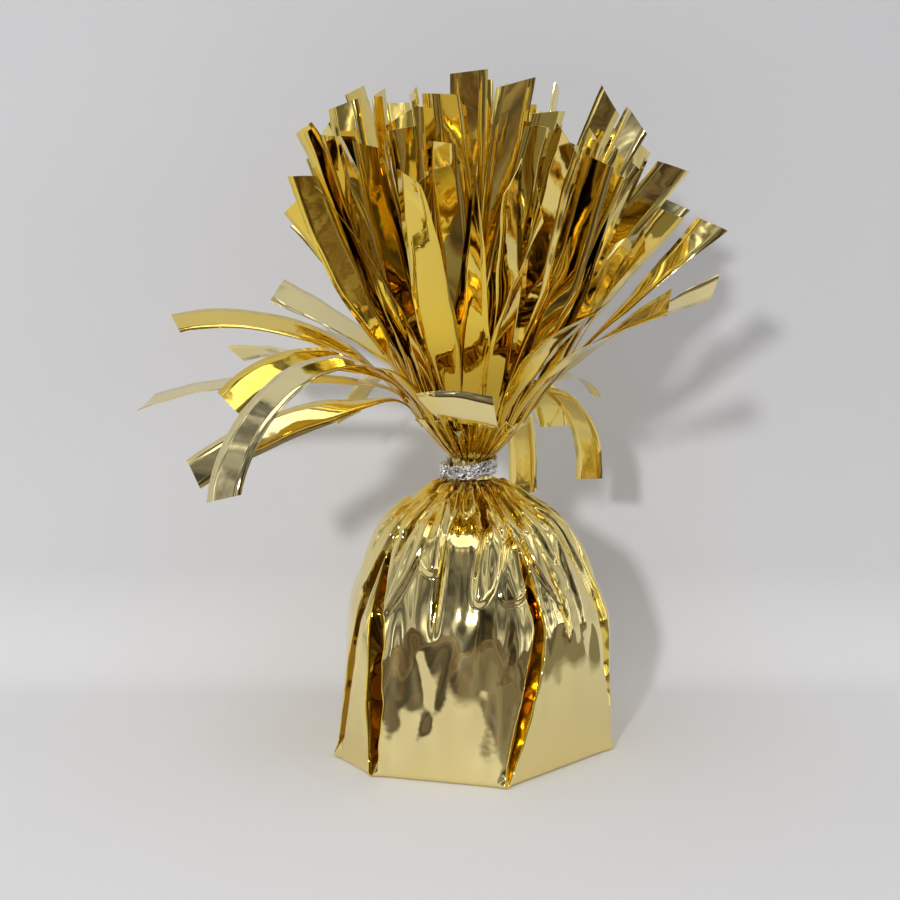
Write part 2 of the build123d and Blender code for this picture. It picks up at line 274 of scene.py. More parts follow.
def tongue(start, end, leaves, ends, broad, tall, pointed):
    u = np.clip((down_film - leaves) / (ends - leaves), 0, 1)
    course = radians(start) + radians(end - start) * u**1.5 + rng.uniform(-0.03, 0.03) * np.sin(5 * u)
    outline = u**0.75 * (1 - u) ** pointed
    breadth = broad * outline / outline.max() + 1e-4
    narrowing = np.gradient(breadth[:, 0], from_neck)[:, None]
    side = away_from(course) / breadth
    face = np.clip(1 - side**4, 0, 1) ** 0.6
    dish = 1 - 0.45 * (1 - side**2) * np.sin(pi * u) ** 2
    lean = 1 + rng.uniform(-0.6, 0.6) * side
    fade = 1 - 0.55 * smooth_step(0.45, 1.0, u)
    to_rim = (np.abs(side) - 0.9) * breadth / np.sqrt(1 + (side * narrowing) ** 2)
    rim = rim_height * np.exp(-((to_rim / rim_half_width) ** 2)) * (u < 1) * (np.abs(side) < 1.4)
    return (tall * face * dish * lean * fade + rim) * smooth_step(0, 0.25, u)


# Each gather: azimuths at start and end in degrees, start and end from the neck, half breadth and
# height in millimetres, and how pointed its end is.
gathers = [
    (238, 247, 4.0, 25.5, 2.9, 2.0, 0.45), (281, 270, 12.0, 31.5, 2.4, 2.0, 0.5),
    (291, 287, 17.0, 31.0, 3.2, 1.4, 0.35), (236, 227, 8.0, 36.0, 1.9, 1.8, 0.9),
    (327, 322, 8.0, 40.0, 2.1, 1.6, 0.9), (303, 308, 12.0, 33.5, 1.8, 1.4, 0.7),
    (339, 340, 7.0, 36.0, 2.1, 1.5, 0.9), (208, 200, 8.0, 33.0, 2.0, 1.4, 0.7),
    (192, 186, 8.0, 30.0, 2.2, 1.3, 0.7), (352, 357, 8.0, 31.0, 2.2, 1.3, 0.7),
    (300, 301, 3.0, 19.0, 1.9, 1.4, 0.5), (222, 219, 4.0, 18.0, 1.8, 1.4, 0.5),
    (319, 315, 4.0, 24.0, 1.7, 1.4, 0.6),
]
for first, last, step, leaves, shortest, longest, broad, tall in (
    (10, 184, 24, 7.0, 24.0, 38.0, 2.2, 1.5), (0, 360, 21, 2.5, 10.0, 19.0, 1.6, 1.2),
    (5, 365, 14, 1.0, 6.0, 11.0, 1.0, 0.9),
):
    for azimuth in range(first, last, step):
        start = azimuth + rng.uniform(-7, 7)
        end = start + rng.uniform(-9, 9)
        broader, taller = rng.uniform(0.75, 1.25, 2)
        ends = rng.uniform(shortest, longest)
        gathers.append((start, end, leaves, ends, broad * broader, tall * taller, 0.6))
tongues = np.zeros_like(radius)
for gather in gathers:
    tongues = np.maximum(tongues, tongue(*gather))
shift += tongues * smooth_step(0, 1.5, down_film) * (1 - 0.7 * np.clip(1 - into**2, 0, 1))
shift -= 0.9 * smooth_step(2, 9, down_film) * (1 - smooth_step(26, 38, down_film))
# Painted shade: deeper near the neck and fading down the dome, and deeper still, to dark brown, inside
# the pleat slits.
painted_shades = 0.12 + 0.55 * np.exp(-down_film / 9)
painted_shades = painted_shades + slit_painted_shade * np.clip(1.3 - into, 0, 1) ** 0.5 * np.clip(depth, 0, 1)

# Folds: under the cord the film is drawn into sharp folds that run out down the dome, and a few long
# valleys reach the shoulder between the tongues. Each valley has its azimuths at start and end in
# degrees, then start and end from the neck, half width and depth in millimetres.
for count, fade, deep in ((17, 11.0, 0.8), (31, 5.0, 0.7)):
    crest = np.abs(np.sin(count / 2 * turn + 1.4 * np.sin(3 * turn + count)))
    shift -= deep * np.exp(-down_film / fade) * smooth_step(0, 1.5, down_film) * (1 - crest) ** 1.5
    # Painted shade in the hollows of these folds.
    painted_shades += 0.8 * np.exp(-down_film / fade) * (1 - crest)
valleys = [
    (280, 277, 3.0, 19.0, 0.8, 1.2), (252, 250, 17.0, 39.0, 0.7, 1.1), (296, 297, 18.0, 36.0, 0.9, 1.4),
    (226, 222, 5.0, 24.0, 0.7, 1.0), (318, 330, 6.0, 28.0, 0.7, 1.1), (306, 312, 14.0, 40.0, 0.6, 1.0),
    (18, 20, 8.0, 34.0, 0.7, 1.1), (62, 66, 6.0, 30.0, 0.7, 1.0), (116, 112, 8.0, 36.0, 0.7, 1.1),
    (172, 176, 6.0, 32.0, 0.7, 1.0), (207, 206, 26.0, 66.0, 0.9, 2.2),
]
for start, end, leaves, ends, half_width, deep in valleys:
    u = np.clip((down_film - leaves) / (ends - leaves), 0, 1)
    across = np.abs(away_from(radians(start) + radians(end - start) * u)) / half_width
    shift -= deep * np.sin(pi * u) ** 0.8 * np.clip(1 - across, 0, 1)
    # Painted shade along each valley.
    painted_shades += np.sin(pi * u) * np.clip(1.2 - across, 0, 1)

# Sides: soft upright flutes, dents from handling, a few sharp creases and crumpled patches. Each dent
# has its azimuth, height, half width, half height and depth, each patch its azimuth, height and
# half width.
side = smooth_step(0.5, 14, high_up) * smooth_step(6, 20, down_film)
for waves in range(60):
    around_count = rng.integers(3, 46)
    per_height = rng.normal(0, 0.07)
    size = 0.70 / (around_count + 4) * rng.uniform(0.3, 1.0)
    shift += side * size * np.sin(around_count * turn + per_height * high_up + rng.uniform(0, 2 * pi))
dents = [
    (245, 20, 1.6, 12, -0.30), (251, 17, 1.8, 14, -0.35), (259, 24, 2.2, 12, 0.25),
    (269, 20, 3.0, 10, 0.25), (277, 22, 2.4, 14, -0.30), (283, 15, 1.6, 10, -0.25),
    (240, 14, 2.0, 9, 0.20), (306, 22, 2.2, 13, -0.30), (315, 24, 2.6, 12, 0.30),
    (325, 20, 2.2, 14, -0.25), (335, 22, 2.4, 12, 0.25),
]
for dent in range(40):
    dents.append(
        (
            rng.uniform(-15, 230), rng.uniform(8, 40), rng.uniform(1.6, 5.0), rng.uniform(6, 16),
            rng.uniform(-0.35, 0.30),
        )
    )
for at_azimuth, at_height, wide, tall, deep in dents:
    across, up = away_from(radians(at_azimuth)), high_up - at_height
    across = across - rng.normal(0, 0.15) * up
    shift += side * deep * np.exp(-((across / wide) ** 2) - (up / tall) ** 2)
for crease in range(70):
    at_turn, at_height = rng.uniform(0, 2 * pi), rng.uniform(4, 46)
    tilt, long = rng.normal(0, 0.6), rng.uniform(2, 9)
    across, up = away_from(at_turn), high_up - at_height
    along = up * cos(tilt) + across * sin(tilt)
    off = across * cos(tilt) - up * sin(tilt)
    deep = rng.uniform(-0.15, 0.15) * smooth_step(3, 14, high_up)
    shift += deep * np.exp(-np.abs(off) / 0.8) * np.exp(-((along / long) ** 4))
crumple_height = 0.12
crumples = [(311, 36, 5.0), (351, 28, 5.0), (100, 36, 6.0), (25, 26, 6.0), (170, 33, 5.0)]
for at_azimuth, at_height, wide in crumples:
    across, up = away_from(radians(at_azimuth)), high_up - at_height
    here = np.exp(-(across**2 + up**2) / wide**2)
    for crumple in range(7):
        tilt = rng.uniform(0, pi)
        wave = (across * cos(tilt) + up * sin(tilt)) / rng.uniform(0.8, 1.7)
        shift += crumple_height * here * np.abs(np.sin(wave + rng.uniform(0, pi)))

# Settling: the film is too stiff for a knife edge, so the relief is eased, and the bell leans to one
# side. Its folds lie on the cup and slip in over the brim. The foot's edge is turned under in a small
# round, and its underside is flat.
under, slip_in, slip_far, foot_painted_shade = 0.9, 5, 25, 0.2
for easing in range(2):
    shift = 0.5 * shift + 0.25 * (np.roll(shift, 1, axis=1) + np.roll(shift, -1, axis=1))
    shift[1:-1] = 0.5 * shift[1:-1] + 0.25 * (shift[2:] + shift[:-2])
out = radius + shift * out_radial
lifted = high_up + shift * out_up
out -= under * (1 - np.sqrt(np.clip(1 - np.clip(1 - high_up / under, 0, 1) ** 2, 0, 1)))
over_brim = lifted - cup_brim
slipped = slip_in * smooth_step(0, 5, over_brim) + slip_far * smooth_step(5, 11, over_brim)
out = np.maximum(out, to_cup - slipped)
rings = np.stack([out * np.cos(turn) + leaned, out * np.sin(turn), np.clip(lifted, 0, None)], axis=2)
foot = np.stack([rings[0] * share for share in (0.35, 0.7, 0.9, 0.97)])
# The foot's underside takes a low, even painted shade.
painted_shades = np.concatenate([np.full((len(foot), turn.shape[1]), foot_painted_shade), np.clip(painted_shades, 0, 1)])
wrapper = ring_mesh(
    "foil_wrapper_film", np.concatenate([foot, rings]) * mm, painted_shades, (0, 0, 0), (0, 0, 57.7 * mm)
)
wrapper.data.materials.append(gold_film)
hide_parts("foil_wrapper")
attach(wrapper, "weight")

# Neck and throat: the same film bunched tight under the cord, then opening in deep uneven folds
# like a funnel. The cut strips rise out of it.
funnel = [(57.0, 4.9), (58.0, 4.5), (60.0, 4.4), (62.0, 4.6), (64.0, 6.2), (67.0, 8.9), (70.6, 12.3)]
bowl = [(70.6, 11.9), (68.6, 9.2), (66.0, 5.6), (64.8, 1.6)]
rim_drop, throat_columns = 0.8, 264
line = np.concatenate([easy_line(funnel, 46)[0], easy_line(bowl, 16)[0]])
turn = np.linspace(0, 2 * pi, throat_columns, endpoint=False)[None, :]
high_up, throat_reach = line[:, :1], line[:, 1:]
deep = np.interp(high_up, [57, 62, 65, 71], [0.28, 0.34, 0.95, 1.9]) * np.minimum(throat_reach / 4.5, 1)
fold = np.sin(13 * turn + 1.1 * np.sin(3 * turn) + 0.25 * np.sin(high_up / 2))
fine = np.sin(31 * turn + 2.0 * np.sin(5 * turn) + high_up / 3)
rounded_fold = np.sign(fold) * np.abs(fold) ** 0.7
throat_reach = throat_reach - deep * (0.5 - 0.5 * rounded_fold) - 0.22 * deep * np.abs(fine)
near_rim = np.interp(high_up, [66, 71], [0, 1])
rim = near_rim * (0.9 * np.sin(5 * turn + 1) + 0.6 * np.sin(11 * turn))
level = high_up + rim - rim_drop * near_rim
rings = np.stack([throat_reach * np.cos(turn), throat_reach * np.sin(turn), level], axis=2)
# Painted shade, deeper in the hollows of the throat's folds.
painted_shades = np.clip(0.1 + 0.3 * deep * (1 - fold), 0, 1)
throat = ring_mesh("neck_throat_film", rings * mm, painted_shades, (0, 0, 56.9 * mm), (0, 0, 64.8 * mm))
throat.data.materials.append(gold_film)
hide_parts("neck_gather")
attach(throat, "weight")

# Tie: a soft silver cord, metallic yarn braided round a stretchy heart, wound twice round the neck.
# Its strands are laid round the cord's line, and the turns are pressed against each other.
silver_yarn, tree, shader, place = finish_nodes("silver_yarn")
# Painted glints and painted shade: the yarn's colour is spotted near-black and near-white, and the same
# noise bumps it.
painted_glints_and_bumps = noise_at(tree, place, 2600.0, 3.0)
painted_yarn_shade, painted_yarn_glint = (0.10, 0.10, 0.11, 1), (0.97, 0.97, 0.98, 1)
tone = ramp_on(tree, painted_glints_and_bumps.outputs["Fac"], [(0.38, painted_yarn_shade), (0.50, painted_yarn_glint)])
tree.links.new(tone.outputs["Color"], shader.inputs["Base Color"])
shader.inputs["Metallic"].default_value = 1.0
shader.inputs["Roughness"].default_value = 0.30
bump_from(tree, shader, painted_glints_and_bumps.outputs["Fac"], 0.7, 0.0002)


def add_node(tree, kind, **settings):
    node = tree.nodes.new(kind)
    for key, value in settings.items():
        setattr(node, key, value)
    return node


def new_geometry_tree(name, sizes):
    tree = bpy.data.node_groups.new(name, "GeometryNodeTree")
    tree.interface.new_socket("Geometry", in_out="INPUT", socket_type="NodeSocketGeometry")
    tree.interface.new_socket("Geometry", in_out="OUTPUT", socket_type="NodeSocketGeometry")
    for label, kind in sizes:
        tree.interface.new_socket(label, in_out="INPUT", socket_type=kind)
    return tree, tree.nodes.new("NodeGroupInput"), tree.nodes.new("NodeGroupOutput")


def plain_mesh_from(tree, name, lines, sizes):
    piece = bpy.data.objects.new(name, lines)
    bpy.context.scene.collection.objects.link(piece)
    maker = piece.modifiers.new("maker", "NODES")
    maker.node_group = tree
    for item in tree.interface.items_tree:
        if item.in_out == "INPUT" and item.name in sizes:
            maker[item.identifier] = sizes[item.name]
    bpy.context.view_layer.update()
    made = piece.evaluated_get(bpy.context.evaluated_depsgraph_get())
    mesh = bpy.data.meshes.new_from_object(made)
    piece.modifiers.remove(maker)
    piece.data = mesh
    mesh.name = name
    return piece


def lines_mesh(name, paths):
    points, edges = [], []
    for path in paths:
        first = len(points)
        points += [tuple(p) for p in path]
        edges += [(first + k, first + k + 1) for k in range(len(path) - 1)]
    mesh = bpy.data.meshes.new(name)
    mesh.from_pydata(points, edges, [])
    return mesh


yarn_tree, given, made = new_geometry_tree(
    "yarn_strands", [("Yarn radius", "NodeSocketFloat"), ("Yarn", "NodeSocketMaterial")]
)
to_curve = add_node(yarn_tree, "GeometryNodeMeshToCurve")
ring = add_node(yarn_tree, "GeometryNodeCurvePrimitiveCircle")
ring.inputs["Resolution"].default_value = 7
tube = add_node(yarn_tree, "GeometryNodeCurveToMesh")
tube.inputs["Fill Caps"].default_value = True
smooth = add_node(yarn_tree, "GeometryNodeSetShadeSmooth")
real = add_node(yarn_tree, "GeometryNodeRealizeInstances")
paint = add_node(yarn_tree, "GeometryNodeSetMaterial")
yarn_tree.links.new(given.outputs["Geometry"], to_curve.inputs["Mesh"])
yarn_tree.links.new(given.outputs["Yarn radius"], ring.inputs["Radius"])
yarn_tree.links.new(to_curve.outputs["Curve"], tube.inputs["Curve"])
yarn_tree.links.new(ring.outputs["Curve"], tube.inputs["Profile Curve"])
yarn_tree.links.new(tube.outputs["Mesh"], smooth.inputs["Geometry"])
yarn_tree.links.new(smooth.outputs["Geometry"], real.inputs["Geometry"])
yarn_tree.links.new(real.outputs["Geometry"], paint.inputs["Geometry"])
yarn_tree.links.new(given.outputs["Yarn"], paint.inputs["Material"])
yarn_tree.links.new(paint.outputs["Geometry"], made.inputs["Geometry"])

tie_radius, tie_pitch, tie_turns, tie_tall = 5.05, 1.55, 2, 4.6
knot_turn, knot_gap, tie_slant = radians(196), 0.16, 0.13
tie_strands, steps_a_turn, tie_yarn = 20, 110, 0.17
tie_low = neck_height + (tie_tall - tie_pitch * tie_turns) / 2
yarn_rng = np.random.default_rng(5)
strands = []
for strand in range(tie_strands):
    path = []
    start_in, lay_in = yarn_rng.uniform(0, 2 * pi, 2)
    held_in, winds = yarn_rng.uniform(0.30, 0.55), yarn_rng.uniform(3, 8)
    for step in range(tie_turns * steps_a_turn + 1):
        share = step / (tie_turns * steps_a_turn)
        angle = knot_turn + knot_gap + (2 * pi * tie_turns - 2 * knot_gap) * share
        lay = start_in + 2 * pi * tie_turns * winds * share + 0.9 * sin(7 * angle + lay_in)
        wobble = 0.10 * sin(5 * angle) + 0.07 * sin(11 * angle + 1)
        radial = tie_radius + held_in * cos(lay) + 0.5 * wobble
        level = tie_low + tie_pitch * tie_turns * share + 1.6 * held_in * sin(lay) + wobble
        level += tie_slant * radial * cos(angle)
        path.append((radial * cos(angle) * mm, radial * sin(angle) * mm, level * mm))
    strands.append(path)
tie_sizes = {"Yarn radius": tie_yarn * mm, "Yarn": silver_yarn}
tie = plain_mesh_from(yarn_tree, "neck_tie_yarn", lines_mesh("tie_lines", strands), tie_sizes)
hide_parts("neck_tie")
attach(tie, "weight")

# Knot: the cord's two ends drawn into a small hard overhand knot at the left of the neck, its yarn
# pulled into close loops.
knot_strands, knot_steps, knot_loops, knot_yarn = 9, 120, 2, 0.22
knot_half_wide, knot_half_tall = 1.15, 1.75
loops = []
for strand in range(knot_strands):
    path = []
    start_in, lay_in = yarn_rng.uniform(0, 2 * pi, 2)
    for step in range(knot_steps + 1):
        share = step / knot_steps
        angle = 2 * pi * knot_loops * share + start_in
        lump = 0.72 + 0.28 * sin(3 * angle + lay_in)
        tangent = knot_half_wide * cos(angle) * lump
        level = tie_low + tie_pitch + knot_half_tall * sin(angle) * lump - tie_slant * tie_radius
        radial = tie_radius + 0.9 + 0.65 * cos(1.5 * angle + lay_in)
        turn_at = knot_turn + tangent / radial
        path.append((radial * cos(turn_at) * mm, radial * sin(turn_at) * mm, level * mm))
    loops.append(path)
knot_sizes = {"Yarn radius": knot_yarn * mm, "Yarn": silver_yarn}
knot = plain_mesh_from(yarn_tree, "tie_knot_yarn", lines_mesh("knot_lines", loops), knot_sizes)
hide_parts("tie_knot")
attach(knot, "weight")

# Fringe strips: the film's edge cut into strips, square at the tip. Each rises narrow and folded from
# under the cord, spreads to its cut width, leans out and bends on in one curve with a little twist.
strip_tree, given, made = new_geometry_tree(
    "fringe_strips",
    [
        ("Thickness", "NodeSocketFloat"),
        ("Waviness", "NodeSocketFloat"),
        ("Flutter", "NodeSocketFloat"),
        ("Film", "NodeSocketMaterial"),
    ],
)
link = strip_tree.links.new
to_curve = add_node(strip_tree, "GeometryNodeMeshToCurve")
section = add_node(strip_tree, "GeometryNodeCurvePrimitiveQuadrilateral")
section.inputs["Width"].default_value = 1.0
section.inputs["Height"].default_value = 1.0
cuts = add_node(strip_tree, "GeometryNodeSubdivideCurve")
cuts.inputs["Cuts"].default_value = 3
place_in_section = add_node(strip_tree, "GeometryNodeInputPosition")
part_xyz = add_node(strip_tree, "ShaderNodeSeparateXYZ")
store_side = add_node(strip_tree, "GeometryNodeStoreNamedAttribute", data_type="FLOAT", domain="POINT")
store_side.inputs["Name"].default_value = "side"
store_layer = add_node(strip_tree, "GeometryNodeStoreNamedAttribute", data_type="FLOAT", domain="POINT")
store_layer.inputs["Name"].default_value = "layer"
link(section.outputs["Curve"], cuts.inputs["Curve"])
link(cuts.outputs["Curve"], store_side.inputs["Geometry"])
link(place_in_section.outputs["Position"], part_xyz.inputs["Vector"])
link(part_xyz.outputs["X"], store_side.inputs["Value"])
link(store_side.outputs["Geometry"], store_layer.inputs["Geometry"])
link(part_xyz.outputs["Y"], store_layer.inputs["Value"])
ribbon = add_node(strip_tree, "GeometryNodeCurveToMesh")
ribbon.inputs["Fill Caps"].default_value = True
link(given.outputs["Geometry"], to_curve.inputs["Mesh"])
link(to_curve.outputs["Curve"], ribbon.inputs["Curve"])
link(store_layer.outputs["Geometry"], ribbon.inputs["Profile Curve"])


def named(tree, label, kind):
    node = add_node(tree, "GeometryNodeInputNamedAttribute", data_type=kind)
    node.inputs["Name"].default_value = label
    return node.outputs["Attribute"]


def vector_sum(tree, operation, first, second):
    node = add_node(tree, "ShaderNodeVectorMath", operation=operation)
    tree.links.new(first, node.inputs[0])
    tree.links.new(second, node.inputs["Scale"] if operation == "SCALE" else node.inputs[1])
    return node.outputs[0]


def number_sum(tree, operation, first, second):
    node = add_node(tree, "ShaderNodeMath", operation=operation)
    for socket, value in zip(node.inputs, (first, second)):
        if isinstance(value, (int, float)):
            socket.default_value = value
        else:
            tree.links.new(value, socket)
    return node.outputs[0]


side = named(strip_tree, "side", "FLOAT")
layer = named(strip_tree, "layer", "FLOAT")
sideways = vector_sum(strip_tree, "SCALE", named(strip_tree, "across", "FLOAT_VECTOR"), side)
slanted = vector_sum(strip_tree, "SCALE", named(strip_tree, "slant", "FLOAT_VECTOR"), side)
square = number_sum(strip_tree, "MULTIPLY", side, side)
arched = number_sum(strip_tree, "SUBTRACT", 0.25, square)
bowed = number_sum(strip_tree, "MULTIPLY", arched, named(strip_tree, "bow", "FLOAT"))
thick = number_sum(strip_tree, "MULTIPLY", layer, given.outputs["Thickness"])
off_face = number_sum(strip_tree, "ADD", bowed, thick)
raised = vector_sum(strip_tree, "SCALE", named(strip_tree, "facing", "FLOAT_VECTOR"), off_face)
spot = vector_sum(strip_tree, "ADD", named(strip_tree, "centre", "FLOAT_VECTOR"), sideways)
spot = vector_sum(strip_tree, "ADD", vector_sum(strip_tree, "ADD", spot, slanted), raised)
shape = add_node(strip_tree, "GeometryNodeSetPosition")
link(ribbon.outputs["Mesh"], shape.inputs["Geometry"])
link(spot, shape.inputs["Position"])
wavy = shape.outputs["Geometry"]
for label, scale in (("Waviness", 70.0), ("Flutter", 190.0)):
    noise = add_node(strip_tree, "ShaderNodeTexNoise")
    noise.inputs["Scale"].default_value = scale
    noise.inputs["Detail"].default_value = 1.0
    centred = add_node(strip_tree, "ShaderNodeVectorMath", operation="SUBTRACT")
    centred.inputs[1].default_value = (0.5, 0.5, 0.5)
    link(noise.outputs["Color"], centred.inputs[0])
    waver = add_node(strip_tree, "GeometryNodeSetPosition")
    link(wavy, waver.inputs["Geometry"])
    offset = vector_sum(strip_tree, "SCALE", centred.outputs[0], given.outputs[label])
    link(offset, waver.inputs["Offset"])
    wavy = waver.outputs["Geometry"]
smooth = add_node(strip_tree, "GeometryNodeSetShadeSmooth")
real = add_node(strip_tree, "GeometryNodeRealizeInstances")
paint = add_node(strip_tree, "GeometryNodeSetMaterial")
link(wavy, smooth.inputs["Geometry"])
link(smooth.outputs["Geometry"], real.inputs["Geometry"])
link(real.outputs["Geometry"], paint.inputs["Geometry"])
link(given.outputs["Film"], paint.inputs["Material"])
link(paint.outputs["Geometry"], made.inputs["Geometry"])

strip_width, root_width, start_width = 7.2, 1.9, 0.75
strip_length, bend_length, root_length, tip_share = 60.0, 17.0, 10.0, 0.14
throat_top, throat_radius, root_lean = 71.0, 13.4, 36.0
full_painted_shade, outer_face_deeper, root_bow = 0.8, 0.2, 0.5
root_steps, free_steps = 8, 34
strip_sizes = {"Thickness": 0.07 * mm, "Waviness": 1.2 * mm, "Flutter": 0.32 * mm, "Film": gold_film}


def strip_frames(
    azimuth, root, lean_bent, lean_tip, twist_tip, turned, veer, length, bend, flare, bow, slant
):
    root_radius, root_height = root
    around = radians(azimuth)
    upward = np.array([0.0, 0.0, 1.0])
    outward = np.array([cos(around), sin(around), 0.0])
    sideways = np.array([-sin(around), cos(around), 0.0])
    lean_root = root_lean * root_radius / throat_radius
    place = outward * root_radius + upward * root_height
    start = outward * min(0.34 * root_radius, 3.6) + upward * (root_height - root_length)
    lead = outward * sin(radians(lean_root)) + upward * cos(radians(lean_root))
    frames = []
    for step in range(root_steps):
        t = step / root_steps
        spot = start * (1 - t) ** 2 + (place - lead * root_length / 2) * 2 * t * (1 - t) + place * t**2
        width = start_width + (root_width - start_width) * t
        frames.append((spot, sideways, np.cross(lead, sideways), lead, width, 0.0))
    step_run = length / free_steps
    before = lead
    for step in range(free_steps + 1):
        along = step_run * step
        bent = min(along / bend, 1)
        rest = max(along - bend, 0) / (length - bend)
        lean = radians(lean_root + (lean_bent - lean_root) * bent + (lean_tip - lean_bent) * rest)
        veered = around + radians(veer) * min(max(along / bend - 1, 0), 1)
        outward = np.array([cos(veered), sin(veered), 0.0])
        sideways = np.array([-sin(veered), cos(veered), 0.0])
        heading = outward * sin(lean) + upward * cos(lean)
        if step:
            between = before + heading
            place = place + between / np.linalg.norm(between) * step_run
        before = heading
        facing = np.cross(sideways, heading)
        twist = radians(twist_tip) * (along / length) ** 2
        twist += radians(turned) * smooth_step(0.05, 0.55, along / length)
        across = sideways * cos(twist) + facing * sin(twist)
        width = root_width + (strip_width - root_width) * min(along / flare, 1)
        cut = slant * max(0.0, (along / length - 1 + tip_share) / tip_share)
        frames.append((place, across, np.cross(heading, across), heading, width, cut))
    fold = root_bow if bow > 0 else -root_bow
    arches = bow + (fold - bow) * (1 - smooth_step(0, free_steps, np.arange(len(frames))))
    return [
        (spot * mm, across * width * mm, facing, heading * cut * mm, arch * width * mm)
        for (spot, across, facing, heading, width, cut), arch in zip(frames, arches)
    ]


def strips_piece(name, strips, painted_shades):
    lines = lines_mesh(name + "_lines", [[row[0] for row in strip] for strip in strips])
    rows = [row for strip in strips for row in strip]
    for label, column in (("centre", 0), ("across", 1), ("facing", 2), ("slant", 3)):
        lines.attributes.new(label, "FLOAT_VECTOR", "POINT").data.foreach_set(
            "vector", np.array([row[column] for row in rows]).ravel()
        )
    lines.attributes.new("bow", "FLOAT", "POINT").data.foreach_set("value", [row[4] for row in rows])
    # Painted shade: each strip is deepest at its root, where the others crowd round it, and fades to
    # its own level along it; the outer face is a little deeper than the inner.
    at_root = 1 - smooth_step(0.3, 0.75, np.linspace(0, 1, len(strips[0])))
    shades = np.concatenate([painted_shade + (full_painted_shade - painted_shade) * at_root for painted_shade in painted_shades])
    lines.attributes.new("painted_shade", "FLOAT", "POINT").data.foreach_set("value", shades)
    piece = plain_mesh_from(strip_tree, name, lines, strip_sizes)
    mesh = piece.data
    layers, sides, shades = (np.zeros(len(mesh.vertices)) for label in range(3))
    for label, values in (("layer", layers), ("side", sides), ("painted_shade", shades)):
        mesh.attributes[label].data.foreach_get("value", values)
    mesh.attributes["painted_shade"].data.foreach_set("value", np.clip(shades - outer_face_deeper * layers, 0, 1))
    ends = np.zeros(len(mesh.edges) * 2, int)
    mesh.edges.foreach_get("vertices", ends)
    rim = np.abs(np.abs(sides[ends.reshape(-1, 2)]) - 0.5).max(axis=1) < 1e-4
    mesh.attributes.new("sharp_edge", "BOOLEAN", "EDGE").data.foreach_set("value", rim)
    for label in ("centre", "across", "facing", "slant", "bow", "side", "layer"):
        mesh.attributes.remove(mesh.attributes[label])
    return piece


# Crown: the bunched strips, upright in the middle and leaning out to the rim, each standing a golden
# turn on from the one before and uneven as loose film is. Those at the sides turn their flats to the
# front. Their tips are painted paler, some strips more than others and those at the right most:
# painted light.
crown_strips, crown_rings, crown_flare = 80, 8, 32.0
golden_turn, crown_lean, crown_share = 137.508, 31.0, 0.83
ring_strips = crown_strips // crown_rings
for ring_number in range(crown_rings):
    strips, painted_shades = [], []
    for number in range(ring_number * ring_strips, (ring_number + 1) * ring_strips):
        share = sqrt((number + 1.5) / (crown_strips + 1.5))
        azimuth = golden_turn * number
        around = radians(azimuth)
        play = min(share / 0.85, 1)
        lean = crown_lean * share + 3.0 * play * sin(3 * around)
        sway = 8.0 * play * sin(5 * around + 1)
        twist = 35.0 * play * sin(6 * number + 2)
        to_front = 25.0 + 35.0 * abs(cos(around)) + 15.0 * sin(7 * number + 0.5)
        turned = to_front * play * (1 if number % 2 else -1)
        length = strip_length * (1.04 + 0.30 * share - 0.43 * share**2 + 0.08 * sin(3 * number + 1))
        bow = 0.10 * sin(9 * number)
        slant = 3.2 * sin(8 * number) ** 3
        tip = lean + sway + 11.0 * play * sin(13 * number)
        veer = 24.0 * play * sin(10 * number + 3)
        root = (throat_radius * crown_share * share, throat_top)
        turns = (lean, tip, twist, turned, veer)
        strips.append(
            strip_frames(azimuth, root, *turns, length, bend_length, crown_flare, bow, slant)
        )
        # Painted light: paler by a varying amount from strip to strip, and paler towards the right.
        pale = max(0.8 * max(0.0, sin(4 * number + 1)) ** 2, 0.50 + 0.30 * cos(around) * play)
        painted_shades.append(full_painted_shade * (1 - pale))
    crown = strips_piece("crown_strips_" + str(ring_number + 1), strips, painted_shades)
    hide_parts("crown_ring_" + str(ring_number + 1))
    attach(crown, "weight")

# Outlying strips: the ones that have sprung away from the crown. Those listed as swinging sit a little
# clear of the throat and are left apart from the weight; the others are attached to it.

